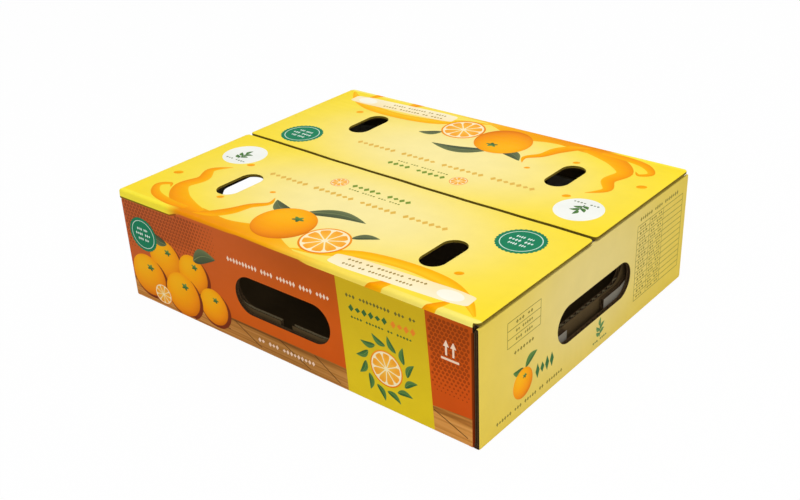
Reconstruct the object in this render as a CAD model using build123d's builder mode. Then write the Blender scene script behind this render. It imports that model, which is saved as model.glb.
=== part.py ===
from build123d import *
import os

# Fruit carton folded from one die-cut sheet of corrugated board: a tray with rolled,
# three-layer ends that lock into the base, and two lid flaps that meet over its middle.
# Millimetres. x runs along the long sides, y from front to rear, z up.
# The origin is on the underside, below the middle of the carton.

# Outside size of the closed carton
length = 380.0
width = 305.0
height = 104.0

# Board and folds
board = 4.0  # thickness of the sheet
ply_gap = 0.4  # air between two layers that lie on each other
fold_inner = 1.0  # inside radius of the folds of the tray
lid_fold_inner = 0.3  # inside radius of the folds that the flaps turn on
edge_relief = 0.5  # how far cut edges stand back from the outer faces
corner_round = 3.0  # rounded corners of the cut panels

# Lid
lid_rest = 0.3  # running clearance between flaps and tray
hinge_gap = 0.3  # slit between the two halves of a flap's fold
seam_gap = 2.5  # slit between the two flaps
vent_length = 47.0
vent_width = 22.0
vent_from_end = 80.0  # centre of a vent, from the end of the carton
vent_from_fold = 68.0  # centre of a vent, from the flap's fold

# Hand holes
side_hole_length = 104.0
side_hole_height = 35.0
side_hole_z = 48.5
end_hole_length = 110.0
end_hole_height = 33.0
end_hole_z = 45.5
end_hole_shift = 3.5  # the end holes sit this far behind the middle
inner_hole_lift = 9.0  # the holes of the inner panels sit this much higher
tab_hole_lift = 7.5  # and the cut-outs of the corner tabs this much
tab_hole_play = 8.0  # a tab's cut-out is this much longer than the hand hole, each side

# Tabs, wings and locks inside the ends
front_tab = 121.0  # reach of the front corner tabs along the end
rear_tab = 128.5  # reach of the rear corner tabs along the end
wing_top = 70.0  # height of the wings that line the long walls
wing_gap = 13.0  # slit between the free ends of two wings
wing_rim = 34.5  # height of a wing below the hand hole
wing_play = 3.0  # a wing's notch is this much longer than the hand hole, each side
lock_width = 45.0
lock_spacing = 150.0
lock_play = 0.4  # clearance of a lock in its slot
lock_recess = 0.3  # a lock stops this far above the underside

# Fold radii at the outer face and at the middle of the board
fold_outer = fold_inner + board
fold_mid = fold_inner + board / 2
lid_fold_mid = lid_fold_inner + board / 2

# Middle planes of the layers, from the outside inwards
end_mid = length / 2 - board / 2
tab_mid = end_mid - board - ply_gap
inner_mid = tab_mid - board - ply_gap
wall_mid = width / 2 - board / 2
wing_mid = wall_mid - board - ply_gap

# Straight runs between the folds
wall_half = tab_mid + board / 2 - fold_outer
wing_fold = wing_mid + board / 2 - fold_outer
roll_half = wing_mid + board / 2
end_half = width / 2 - edge_relief
lid_half = length / 2 - edge_relief

# Heights of the layers
end_top = height - board - lid_rest
tab_top = end_top - board - ply_gap
inner_low = board + ply_gap
head_low = height - fold_outer - board
overlap = 2 * board  # how far a folded-on profile runs back into its panel

# The plane that cuts a flap's fold in two passes through its outer edge at 45 degrees.
front_mitre = Plane(origin=(0, -width / 2, height), x_dir=(1, 0, 0), z_dir=(0, 1, 1))

with BuildPart() as tray:
    # Upper edge of the long walls: each stops at the mitre of its flap's fold.
    with BuildSketch(Plane.YZ):
        with BuildLine():
            FilletPolyline(
                (-wall_mid, head_low),
                (-wall_mid, height - board / 2),
                (-wall_mid + overlap, height - board / 2),
                radius=lid_fold_mid,
            )
        trace(line_width=board)
    extrude(amount=wall_half, both=True)
    split(bisect_by=front_mitre.offset(-hinge_gap / 2), keep=Keep.BOTTOM)
    mirror(about=Plane.XZ)

    # Base and long walls, one bent strip from the front to the rear.
    with BuildSketch(Plane.YZ):
        with BuildLine():
            FilletPolyline(
                (-wall_mid, head_low),
                (-wall_mid, board / 2),
                (wall_mid, board / 2),
                (wall_mid, head_low),
                radius=fold_mid,
            )
        trace(line_width=board)
    extrude(amount=wall_half, both=True)

    # Hand holes through both long walls.
    with BuildSketch(Plane.XZ):
        with Locations((0, side_hole_z)):
            SlotOverall(side_hole_length, side_hole_height)
    extrude(amount=width, both=True, mode=Mode.SUBTRACT)

    # Rolled ends: up from the base, over the top and down again inside.
    with BuildSketch(Plane.XZ):
        with BuildLine():
            FilletPolyline(
                (0, board / 2),
                (end_mid, board / 2),
                (end_mid, end_top - board / 2),
                (inner_mid, end_top - board / 2),
                (inner_mid, inner_low),
                radius=fold_mid,
            )
        trace(line_width=board)
        mirror(about=Plane.YZ)
    extrude(amount=roll_half, both=True)

    # Relief beside the inner panels, where the wings fold away.
    with BuildSketch(Plane.XY.offset(inner_low)):
        for side in (-1, 1):
            with Locations((side * inner_mid, wing_fold + fold_outer / 2)):
                Rectangle(2 * board, fold_outer)
            with Locations((side * inner_mid, -wing_fold - fold_outer / 2)):
                Rectangle(2 * board, fold_outer)
    extrude(amount=wing_top + ply_gap - inner_low, mode=Mode.SUBTRACT)

    # Outer end walls at their full width, with rounded top corners.
    with BuildSketch(Plane.XZ):
        with BuildLine():
            FilletPolyline(
                (end_mid - overlap, board / 2),
                (end_mid, board / 2),
                (end_mid, end_top - fold_outer),
                radius=fold_mid,
            )
        trace(line_width=board)
        mirror(about=Plane.YZ)
    extrude(amount=end_half, both=True)
    shoulders = tray.edges().filter_by(Axis.X).filter_by(
        lambda edge: abs(edge.center().Z - (end_top - fold_outer)) < edge_relief / 2
        and abs(abs(edge.center().Y) - end_half) < edge_relief / 2
    )
    fillet(shoulders, radius=corner_round)

    # Corner tabs: the long walls fold round the corners and run on behind the end walls.
    with BuildSketch(Plane.XY.offset(fold_outer)):
        with BuildLine():
            FilletPolyline(
                (wall_half - overlap, -wall_mid),
                (tab_mid, -wall_mid),
                (tab_mid, -width / 2 + front_tab),
                radius=fold_mid,
            )
        trace(line_width=board)
        with BuildLine():
            FilletPolyline(
                (wall_half - overlap, wall_mid),
                (tab_mid, wall_mid),
                (tab_mid, width / 2 - rear_tab),
                radius=fold_mid,
            )
        trace(line_width=board)
        mirror(about=Plane.YZ)
    extrude(amount=tab_top - fold_outer)

    # Wings: the inner panels fold round the inside corners and line the long walls.
    with BuildSketch(Plane.XY.offset(inner_low)):
        with BuildLine():
            FilletPolyline(
                (inner_mid, wing_fold - overlap),
                (inner_mid, wing_mid),
                (wing_gap / 2, wing_mid),
                radius=fold_mid,
            )
        trace(line_width=board)
        mirror(about=Plane.YZ)
        mirror(about=Plane.XZ)
    extrude(amount=wing_top - inner_low)

    # The wings are cut down below the hand holes of the long walls.
    with BuildSketch(Plane.XZ) as wing_notch:
        with Locations((0, wing_rim + side_hole_height / 2)):
            SlotOverall(side_hole_length + 2 * wing_play, side_hole_height)
        with Locations((0, wing_rim + side_hole_height)):
            Rectangle(side_hole_length + 2 * wing_play, side_hole_height)
    extrude(amount=wing_mid + board / 2 + ply_gap / 2, both=True, mode=Mode.SUBTRACT)

    # Hand holes of the ends: through the outer walls, then higher up through the tabs behind
    # them, and higher still through the inner panels.
    layer = board + ply_gap
    layer_cuts = (
        (end_mid, 0.0, 0.0),
        (tab_mid, tab_hole_lift, tab_hole_play),
        (inner_mid, inner_hole_lift, 0.0),
    )
    for middle, lift, play in layer_cuts:
        for side in (-1, 1):
            with BuildSketch(Plane.YZ.offset(side * middle)):
                with Locations((end_hole_shift, end_hole_z + lift)):
                    SlotOverall(end_hole_length + 2 * play, end_hole_height)
            extrude(amount=layer / 2, both=True, mode=Mode.SUBTRACT)

    # Locks: two tongues on each inner panel stand in slots of the base.
    lock_places = GridLocations(2 * inner_mid, lock_spacing, 2, 2)
    with BuildSketch(Plane.XY):
        with lock_places:
            Rectangle(board + 2 * lock_play, lock_width + 2 * lock_play)
    extrude(amount=board, mode=Mode.SUBTRACT)
    with BuildSketch(Plane.XY.offset(lock_recess)):
        with lock_places:
            Rectangle(board, lock_width)
    extrude(amount=inner_low + overlap - lock_recess)

with BuildPart() as front_flap:
    # Fold and panel in one profile, from the mitre to the seam.
    with BuildSketch(Plane.YZ):
        with BuildLine():
            FilletPolyline(
                (-wall_mid, head_low),
                (-wall_mid, height - board / 2),
                (-seam_gap / 2, height - board / 2),
                radius=lid_fold_mid,
            )
        trace(line_width=board)
    extrude(amount=lid_half, both=True)
    split(bisect_by=front_mitre.offset(hinge_gap / 2), keep=Keep.TOP)

    # Vent and finger holes.
    with BuildSketch(Plane.XY.offset(height)):
        with Locations((0, -width / 2 + vent_from_fold)):
            with GridLocations(length - 2 * vent_from_end, 0, 2, 1):
                SlotOverall(vent_length, vent_width, rotation=90)
    extrude(amount=-board, mode=Mode.SUBTRACT)

    # Rounded corners of the free edge.
    fillet(front_flap.edges().filter_by(Axis.Z).group_by(Axis.Y)[-1], radius=corner_round)

with BuildPart() as rear_flap:
    mirror(front_flap.part, about=Plane.XZ)

tray.part.label = "tray"
front_flap.part.label = "front_flap"
rear_flap.part.label = "rear_flap"

os.makedirs("parts", exist_ok=True)
export_step(tray.part, "parts/tray.step")
export_step(front_flap.part, "parts/front_flap.step")
export_step(rear_flap.part, "parts/rear_flap.step")
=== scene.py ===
import bpy
import math
import numpy as np
from mathutils import Matrix, Vector


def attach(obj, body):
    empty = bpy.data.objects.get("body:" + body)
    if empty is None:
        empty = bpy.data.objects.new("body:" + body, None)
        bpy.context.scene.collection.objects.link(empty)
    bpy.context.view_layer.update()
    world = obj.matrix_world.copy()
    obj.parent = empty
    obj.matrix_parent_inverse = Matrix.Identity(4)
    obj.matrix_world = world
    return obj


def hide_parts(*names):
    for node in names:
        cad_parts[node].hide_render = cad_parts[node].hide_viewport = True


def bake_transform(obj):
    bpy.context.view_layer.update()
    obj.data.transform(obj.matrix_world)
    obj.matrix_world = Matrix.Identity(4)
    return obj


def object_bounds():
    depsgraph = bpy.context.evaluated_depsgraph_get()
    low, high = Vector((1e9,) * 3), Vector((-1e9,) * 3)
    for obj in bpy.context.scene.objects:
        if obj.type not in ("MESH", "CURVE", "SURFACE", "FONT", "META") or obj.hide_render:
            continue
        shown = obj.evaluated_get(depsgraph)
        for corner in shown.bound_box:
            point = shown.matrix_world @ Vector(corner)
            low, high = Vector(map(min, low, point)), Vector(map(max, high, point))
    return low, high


# Printed fruit carton of corrugated board, closed, on a pale floor.
# Lengths are millimetres until a mesh is made, and metres from there on.
# x runs along the long sides, y from front to rear, z up.

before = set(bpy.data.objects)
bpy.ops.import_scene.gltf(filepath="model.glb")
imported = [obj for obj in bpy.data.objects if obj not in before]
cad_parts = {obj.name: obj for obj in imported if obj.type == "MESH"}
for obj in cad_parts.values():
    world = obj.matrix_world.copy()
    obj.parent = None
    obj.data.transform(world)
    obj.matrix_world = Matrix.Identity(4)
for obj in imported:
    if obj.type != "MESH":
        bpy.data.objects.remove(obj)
cad_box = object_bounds()
MM = 0.001

# Outside size, from the frame
LENGTH, WIDTH, HEIGHT = ((high - low) / MM for low, high in zip(*cad_box))

# Board and folds
BOARD = 4.0
HALF = BOARD / 2
LINER = 0.35  # paper face on each side of the fluted core
PITCH = 8.0  # one wave of the fluted core
PLY_GAP = 0.4  # between layers that lie on each other
FOLD = 3.0  # radius of the tray's folds at the middle of the board
LID_FOLD = 2.3  # the same for the folds of the flaps
CREASE = 2.2  # radius that creasing leaves on the outside of a fold
BASE_CREASE = 1.0  # the same round the base
ROLL_CREASE = 0.8  # and on the upper outer edge of an end
LID_REST = 0.3  # between the lid and the rolled edges
EDGE_RELIEF = 0.5  # the raw edges of ends and flaps stay this far inside the outside size
CORNER_ROUND = 3.0

# Middle planes of the layers, from the outside inwards
END_MID = LENGTH / 2 - HALF
TAB_MID = END_MID - BOARD - PLY_GAP
INNER_MID = TAB_MID - BOARD - PLY_GAP
WALL_MID = WIDTH / 2 - HALF
WING_MID = WALL_MID - BOARD - PLY_GAP

# Half lengths of the panels between their folds
WALL_HALF = TAB_MID - FOLD
BASE_HALF = END_MID - FOLD
BASE_DEEP = WALL_MID - FOLD
WING_FOLD = WING_MID - FOLD
ROLL_HALF = WING_MID + HALF
END_HALF = WIDTH / 2 - EDGE_RELIEF
LID_HALF = LENGTH / 2 - EDGE_RELIEF

# Heights
FOLD_TOP = FOLD + HALF  # where a wall's flat part begins
WALL_TOP = HEIGHT - HALF - LID_FOLD
END_TOP = HEIGHT - BOARD - LID_REST
ROLL_START = END_TOP - HALF - FOLD
TAB_TOP = END_TOP - BOARD - PLY_GAP
INNER_LOW = BOARD + PLY_GAP
WING_TOP = 70.0
WING_RIM = 34.5  # top of the wings below the wall's hand hole
WING_GAP = 13.0  # slit between two wings
WING_PLAY = 3.0  # the wings are cut down this much further along than the hole

# Holes: half length, radius of the round ends, place
SIDE_HOLE = (52.0, 17.5)
SIDE_HOLE_Z = 48.5
END_HOLE = (55.0, 16.5)
END_HOLE_Z = 45.5
END_HOLE_Y = 3.5
INNER_LIFT = 9.0  # the inner panel's hole sits this much higher than the end wall's
TAB_LIFT = 7.5  # and so do the tabs' cut-outs, which run on further to each side
TAB_PLAY = 8.0
VENT = (23.5, 11.0)
VENT_X = LENGTH / 2 - 80.0
VENT_V = HEIGHT + 68.0

# Tabs and locks
FRONT_TAB = 121.0
REAR_TAB = 128.5
LOCK_WIDTH = 45.0
LOCK_Y = 75.0
LOCK_PLAY = 0.4
LOCK_RECESS = 0.3  # height of a lock's foot over the base's outer face

# The walls' top strips run on past the folds of the tabs, and the front left corner bulges over the raw
# edge of the end wall there
STRIP_END = 184.8
BULGE = 4.3
BULGE_FADE = 50.0
BULGE_DEPTH = 3.0

# The seam between the flaps is a wedge, wider at the right, and its left end lies nearer the rear
SEAM = 3.9
SEAM_SKEW = 0.4
SEAM_TILT = 2.3

# The wall's print ends this far round the tab's fold, as a place on x
PRINT_END = 184.5


def creased(angle, reach, crease):
    """Distance from a fold's centre to its outer face, for an angle from one panel's normal to the next. The
    panels' faces are at the distance reach, and a circle of radius crease rounds their corner: reach / cos
    and reach / sin on the panels, and c (cos + sin) + sqrt(crease^2 - c^2 (1 - sin 2 angle)) between, with
    c = reach - crease."""
    c = reach - crease
    cos, sin = np.cos(angle), np.sin(angle)
    root = np.sqrt(np.maximum(crease**2 - c**2 * (1 - np.sin(2 * angle)), 0))
    rounded = c * (cos + sin) + root
    flat = reach / np.maximum(cos, sin)
    return np.where(np.minimum(cos, sin) * reach > c * np.maximum(cos, sin), rounded, flat)


def fold_line(corners, radius, outer, start, creases=(CREASE,)):
    """Middle line of a folded board, as a function of v, the distance along its printed face.

    Straight runs are joined by arcs. A point of an arc is start + (sin(k u) way + (1 - cos(k u)) left) / k,
    with u the distance along the arc, k its curvature and left the way turned by 90 degrees. A run counts
    its own length in v, and an arc counts the two stretches to the printed face's sharp corner.
    outer is 1 where the printed face lies to the left of the way and -1 where it lies to the right. creases
    are the outside radii of the first arcs, and the last one holds for all that follow. at(v) gives the
    point, the direction out of the printed face and how far that face is from the middle.
    """
    corners = np.array(corners, float)
    runs = np.diff(corners, axis=0)
    lengths = np.hypot(*runs.T)
    ways = runs / lengths[:, None]
    spans = []
    for i, way in enumerate(ways):
        before = radius if i > 0 else 0.0
        after = radius if i < len(ways) - 1 else 0.0
        straight = lengths[i] - before - after
        spans.append((straight, straight, corners[i] + before * way, way, 0.0, CREASE))
        if after:
            turn = np.sign(way[0] * ways[i + 1][1] - way[1] * ways[i + 1][0])
            face = 2 * (radius - outer * turn * HALF)
            arc = radius * math.pi / 2
            crease = creases[min(i, len(creases) - 1)]
            spans.append((face, arc, corners[i + 1] - after * way, way, turn / radius, crease))
    faces, mids, points, ways, bends, rounds = (np.array(part) for part in zip(*spans))
    convex = outer * bends < 0
    starts = start + np.concatenate(([0.0], np.cumsum(faces)[:-1]))

    def at(v):
        i = np.clip(np.searchsorted(starts, v, side="right") - 1, 0, len(starts) - 1)
        u = (v - starts[i]) * mids[i] / faces[i]
        k = bends[i]
        safe = np.where(k == 0, 1.0, k)
        along = np.where(k == 0, u, np.sin(k * u) / safe)[..., None]
        across = np.where(k == 0, 0.0, (1 - np.cos(k * u)) / safe)[..., None]
        way = ways[i]
        left = np.stack((-way[..., 1], way[..., 0]), -1)
        heading = np.cos(k * u)[..., None] * way + np.sin(k * u)[..., None] * left
        normal = outer * np.stack((-heading[..., 1], heading[..., 0]), -1)
        out = np.where(convex[i], creased(np.abs(k * u), radius + HALF, rounds[i]) - radius, HALF)
        return points[i] + along * way + across * left, normal, out

    return at


side_line = fold_line(
    ((0, HALF), (WALL_MID, HALF), (WALL_MID, HEIGHT)),
    FOLD, -1, -WIDTH / 2, (BASE_CREASE,),
)
lid_line = fold_line(
    ((WALL_MID, 0), (WALL_MID, HEIGHT - HALF), (-HALF, HEIGHT - HALF)),
    LID_FOLD, -1, 0.0,
)
end_line = fold_line(
    ((0, HALF), (END_MID, HALF), (END_MID, END_TOP - HALF), (INNER_MID, END_TOP - HALF), (INNER_MID, 0)),
    FOLD, -1, -LENGTH / 2, (BASE_CREASE, ROLL_CREASE, CREASE),
)
tab_line = fold_line(
    ((0, WALL_MID), (TAB_MID, WALL_MID), (TAB_MID, 0)),
    FOLD, 1, -TAB_MID - HALF,
)
wing_line = fold_line(
    ((INNER_MID, 0), (INNER_MID, WING_MID), (0, WING_MID)),
    FOLD, 1, 0.0,
)

# Distance v of the inner panel's points: END_DROP - v is their height
END_DROP = 2 * END_TOP + LENGTH / 2 - INNER_MID + HALF


def swell(u, low, high):
    """Smooth hump over a panel: sin(pi t) for t from 0 at one side to 1 at the other, 0 outside."""
    return np.sin(math.pi * np.clip((u - low) / (high - low), 0, 1))


# Room for the layers of ink over the paper, so that they end at the board's full thickness
INK_ROOM = 0.26

# How far panels sink in from their plane
WALL_BOW = 0.35
END_BOW = 0.35
LID_BOW = 1.1
LID_WAVE = 0.3
LID_WAVE_LENGTH = 126.0


def bulged(x, share):
    """Moves the left end of the front wall outwards by BULGE, fading out to the right over BULGE_FADE."""
    fade = np.clip((-x - WALL_HALF + BULGE_FADE) / BULGE_FADE, 0, 1)
    return x - BULGE * share * fade**2 * (3 - 2 * fade)


def facing(turn, along, profile):
    """Points or directions at the places along x, from a profile in y and z. turn is 1 at the front and -1
    at the rear."""
    return np.stack((along, -turn * profile[..., 0], profile[..., 1]), -1)


def side_place(turn):
    """Long wall below the fold of its flap: v is the height on the wall, x runs to the right as it is seen.
    The wall sinks in by WALL_BOW times one hump along it and one up it."""

    def place(v, x):
        point, normal, out = side_line(v)
        bow = WALL_BOW * swell(x, -WALL_HALF, WALL_HALF) * swell(v, FOLD_TOP, WALL_TOP)
        point = point - bow[..., None] * normal
        up = np.clip((v + FOLD_TOP) / FOLD_TOP, 0, 1)
        along = bulged(x, up) if turn == 1 else -x
        return facing(turn, along, point), facing(turn, 0 * x, normal), out

    return place


def lid_place(turn):
    """Flap with its fold: v goes on from the wall over the fold to the seam. The panel sags between the
    ends that it lies on, by up to LID_BOW at the seam, and waves by LID_WAVE."""

    def place(v, x):
        point, normal, out = lid_line(v)
        reach = np.clip((v - HEIGHT - FOLD_TOP) / (WIDTH / 2), 0, 1)
        wave = (1 + np.sin(2 * math.pi * turn * x / LID_WAVE_LENGTH)) / 2
        sag = (LID_BOW + LID_WAVE * wave) * reach * swell(x, -LID_HALF, LID_HALF)
        point = point - sag[..., None] * normal
        return facing(turn, turn * x, point), facing(turn, 0 * x, normal), out

    return place


def end_place(turn):
    """End wall, rolled edge and inner panel: v is the height on the outer wall, h runs to the right as it is
    seen. The outer wall sinks in by END_BOW times one hump along it and one up it."""

    def place(v, h):
        point, normal, out = end_line(v)
        bow = END_BOW * swell(h, -END_HALF, END_HALF) * swell(v, FOLD_TOP, ROLL_START)
        point = point - bow[..., None] * normal
        here = np.stack((turn * point[..., 0], turn * h, point[..., 1]), -1)
        return here, np.stack((turn * normal[..., 0], 0 * h, normal[..., 1]), -1), out

    return place


def corner_place(line, across, along):
    """Tab or wing at one corner: v follows the line in plan, z is the height. across and along are the
    corner's signs on x and y. The tab's fold at the front left corner takes part in the bulge, less and
    less over BULGE_DEPTH behind the wall."""

    def place(v, z):
        point, normal, out = line(v)
        x = across * point[..., 0]
        if line is tab_line and (across, along) == (-1, -1):
            near = np.clip(1 - (WALL_MID - point[..., 1]) / BULGE_DEPTH, 0, 1)
            x = bulged(x, near * (2 - near))
        here = np.stack((x, along * point[..., 1], z), -1)
        return here, np.stack((across * normal[..., 0], along * normal[..., 1], 0 * z), -1), out

    return place


def wall_print_place(turn):
    """Long wall for its print, which runs on round the folds of the tabs: past WALL_HALF, and no higher than
    a tab, x goes on along the tab's line and v is the height."""
    wall = side_place(turn)
    tabs = [(side, corner_place(tab_line, side * turn, -turn)) for side in (-1, 1)]

    def place(v, x):
        point, normal, out = wall(v, x)
        for side, tab in tabs:
            here = (side * x > WALL_HALF) & (v <= TAB_TOP)
            tab_point, tab_normal, tab_out = tab(np.abs(x) - TAB_MID - HALF, v)
            point = np.where(here[..., None], tab_point, point)
            normal = np.where(here[..., None], tab_normal, normal)
            out = np.where(here, tab_out, out)
        return point, normal, out

    return place


def base_place(y, x):
    """The base, flat, with its outer face down."""
    deep = 0 * x + HALF
    return np.stack((x, y, deep), -1), np.stack((0 * x, 0 * x, 0 * x - 1), -1), deep


# Places in a board's list of materials
PRINTED, BARE, INSIDE, EDGE, CORE, PALE_CORE = range(6)

WHITE = (1.0, 1.0, 1.0)
MERGE = 0.01  # points that share a place to this are one point
MERGE_SHIFT = 0.37  # keeps whole and half values off the limits between two such places


class Sheet:
    """Patches of one face: points in the middle of the board, directions out of the printed face, how far
    that face is, places on the flat board, colours, four-sided cells and their materials."""

    def __init__(self):
        self.parts = []
        self.count = 0

    def add_cells(self, place, v, x, cells, ink=PRINTED, colour=WHITE, start=None, lift=0.0):
        """Lays cells that are given by the numbers of their corners, on the face's own coordinates. colour
        may be a hex code or a function of x and v. The flat board's flutes run along x, or along start + v
        if a start is given."""
        point, normal, out = place(v, x)
        flat = np.stack((x, v) if start is None else (v + start, x), -1)
        if isinstance(colour, str):
            colour = linear(colour)[:3]
        elif callable(colour):
            colour = colour(x, v)
        colour = np.broadcast_to(colour, x.shape + (3,))
        self.parts.append((
            point.reshape(-1, 3), normal.reshape(-1, 3), out.reshape(-1) + lift, flat.reshape(-1, 2),
            colour.reshape(-1, 3), cells + self.count, np.full(len(cells), ink),
        ))
        self.count += x.size

    def add(self, place, v, x, ink=PRINTED, colour=WHITE, wrap=False, keep=None, **more):
        """Lays a grid. wrap joins its last column to the first, and keep marks the cells that stay."""
        ids = np.arange(x.size).reshape(x.shape)
        if wrap:
            ids = np.concatenate((ids, ids[:, :1]), 1)
        cells = np.stack((ids[:-1, :-1], ids[1:, :-1], ids[1:, 1:], ids[:-1, 1:]), -1)
        cells = cells.reshape(-1, 4) if keep is None else cells[keep]
        self.add_cells(place, v, x, cells, ink, colour, **more)

    def lay(self, place, rows, columns, ink=PRINTED, colour=WHITE, **more):
        """Lays the grid of the given rows v and columns x."""
        v, x = np.meshgrid(rows, columns, indexing="ij")
        self.add(place, v, x, ink, colour, **more)

    def gather(self):
        """All patches as they are, with their cells turned outwards."""
        point, normal, *others, cells, ink = (np.concatenate(part) for part in zip(*self.parts))
        return point, normal, *others, turn_outwards(point, normal, cells), ink

    def gather_merged(self):
        """All patches as one surface: points that share a place are merged."""
        *points, cells, ink = self.gather()
        key = np.floor(points[0] / MERGE + MERGE_SHIFT).astype(np.int64)
        _, first, where = np.unique(key, axis=0, return_index=True, return_inverse=True)
        return *(part[first] for part in points), where.reshape(-1)[cells], ink


def turn_outwards(point, normal, cells):
    """Turns each four-sided face whose diagonals' cross product points against the surface's normal."""
    a, b, c, d = (point[cells[:, i]] for i in range(4))
    side = np.einsum("ij,ij->i", np.cross(c - a, d - b), normal[cells[:, 0]])
    return np.where(side[:, None] < 0, cells[:, ::-1], cells)


def new_object(name, data):
    """Puts a mesh, a camera or a lamp in the scene."""
    made = bpy.data.objects.new(name, data)
    bpy.context.scene.collection.objects.link(made)
    return made


def make_object(name, point, cells, ink, flat, colour, materials):
    """Mesh object in metres from arrays, with the flat board as its UV map and the ink as its colours."""
    mesh = bpy.data.meshes.new(name)
    mesh.vertices.add(len(point))
    mesh.vertices.foreach_set("co", (point * MM).astype(np.float32).ravel())
    mesh.loops.add(cells.size)
    mesh.loops.foreach_set("vertex_index", cells.astype(np.int32).ravel())
    mesh.polygons.add(len(cells))
    mesh.polygons.foreach_set("loop_start", np.arange(0, cells.size, 4, dtype=np.int32))
    mesh.polygons.foreach_set("material_index", ink.astype(np.int32))
    mesh.polygons.foreach_set("use_smooth", np.ones(len(cells), bool))
    mesh.update(calc_edges=True)
    board = mesh.uv_layers.new(name="board")
    board.data.foreach_set("uv", (flat[cells.ravel()] * MM).astype(np.float32).ravel())
    inks = mesh.attributes.new("ink", "FLOAT_COLOR", "POINT")
    inks.data.foreach_set("color", np.insert(colour, 3, 1.0, axis=1).astype(np.float32).ravel())
    for material in materials:
        mesh.materials.append(material)
    mesh.validate()
    mesh.set_sharp_from_angle(angle=SHARP)
    return new_object(name, mesh)


def rim_of(cells, count):
    """Directed edges that no neighbour runs the other way: the open border of a surface."""
    edges = np.stack((cells, np.roll(cells, -1, 1)), -1).reshape(-1, 2)
    return edges[~np.isin(edges[:, 0] * count + edges[:, 1], edges[:, 1] * count + edges[:, 0])]


def walls_between(steps):
    """Bands of faces between borders that lie one below the other, each given as directed edges."""
    return [
        np.stack((upper[:, 0], lower[:, 0], lower[:, 1], upper[:, 1]), -1)
        for upper, lower in zip(steps[:-1], steps[1:])
    ]


# Open edges of the board
GROOVE = 1.8  # how deep one sees between the two papers
FOLD_GROOVE = 0.5  # the share of it on a fold, where a straight groove would come out of the paper
CORE_HALF = 0.16  # half the core's thickness
CORE_INSET = 0.12  # how far it stays inside the papers' edges
CORE_STEP = 1.35  # longest piece of it
CORE_LEAST = 0.01  # gives an edge along the flutes one length of core too
FOLD_NEAR = 0.05  # an edge this close to the wall's top lies on it
FACES_UP = 0.8  # the least rise of the way out from an edge that faces up
TWO_WAYS = 0.1  # a normal on a fold has two parts larger than this
SHARP = math.radians(35)


def joined_at_fold(middle):
    """Edges where a wall goes on into its flap's fold: they are covered, so they get no open core."""
    return (np.abs(middle[:, 2] - WALL_TOP) < FOLD_NEAR) & (np.abs(middle[:, 1]) > WALL_MID - HALF)


def frayed_and_lit_from_above(middle, inward):
    """Edges that face up on the inner panels and the wings, which get the pale core: partly frayed fibres,
    partly a painted highlight of the light falling on them from above.
    """
    high = np.clip(middle[:, 2], FOLD_TOP, ROLL_START) == middle[:, 2]
    inner = (np.abs(middle[:, 0]) < INNER_MID + HALF) & (np.abs(middle[:, 1]) < WING_MID + HALF)
    return high & inner & (inward[:, 2] < -FACES_UP)


def middles(edges, point):
    """Midpoints of edges."""
    return (point[edges[:, 0]] + point[edges[:, 1]]) / 2


def pull_in(rim, point, normal):
    """Way from each point of a border into the board: the sum of its two edges' ways, as long as it takes to
    be 1 from both edges. It is shorter on a fold, where the normal has two parts."""
    inward = np.cross(normal[rim[:, 0]] + normal[rim[:, 1]], point[rim[:, 1]] - point[rim[:, 0]])
    inward /= np.linalg.norm(inward, axis=1)[:, None]
    pull = np.zeros_like(point)
    for end in (0, 1):
        np.add.at(pull, rim[:, end], inward)
    pull = 2 * pull / np.maximum(np.sum(pull * pull, axis=1), 1.0)[:, None]
    pull[np.sum(np.abs(normal) > TWO_WAYS, axis=1) > 1] *= FOLD_GROOVE
    return inward, pull


def open_core(rim, shares, point, normal, pull, flat):
    """The core as a thin strip along each open edge, cut into short lengths. It stands at rise + wave
    sin(2 pi b / PITCH), b being the place across the flutes on the flat board."""
    across = np.abs(flat[rim[:, 1], 1] - flat[rim[:, 0], 1])
    parts = np.ceil(across / CORE_STEP + CORE_LEAST).astype(int)
    edge = np.repeat(np.arange(len(rim)), parts + 1)
    number = np.arange(len(edge)) - np.repeat(np.cumsum(parts + 1) - parts - 1, parts + 1)
    far = (number / parts[edge])[:, None]
    i, j = rim[edge].T
    middle, away, towards, place = (a[i] * (1 - far) + a[j] * far for a in (point, normal, pull, flat))
    rise = (shares[0] - shares[1]) * HALF / 2
    wave = sum(shares) * HALF / 2 - LINER - CORE_HALF - INK_ROOM / 2
    height = rise - INK_ROOM / 2 + wave * np.sin(2 * math.pi * place[:, 1:] / PITCH)
    section = ((CORE_HALF, CORE_INSET), (-CORE_HALF, CORE_INSET), (-CORE_HALF, GROOVE), (CORE_HALF, GROOVE))
    core = [middle + (height + thick) * away + inset * towards for thick, inset in section]
    first = np.flatnonzero(number < parts[edge])
    starts = [first + i * len(edge) for i in (0, 1, 2, 3, 0)]
    faces = walls_between([np.stack((start, start + 1), -1) for start in starts])
    return core, faces, edge[first], place


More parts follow.
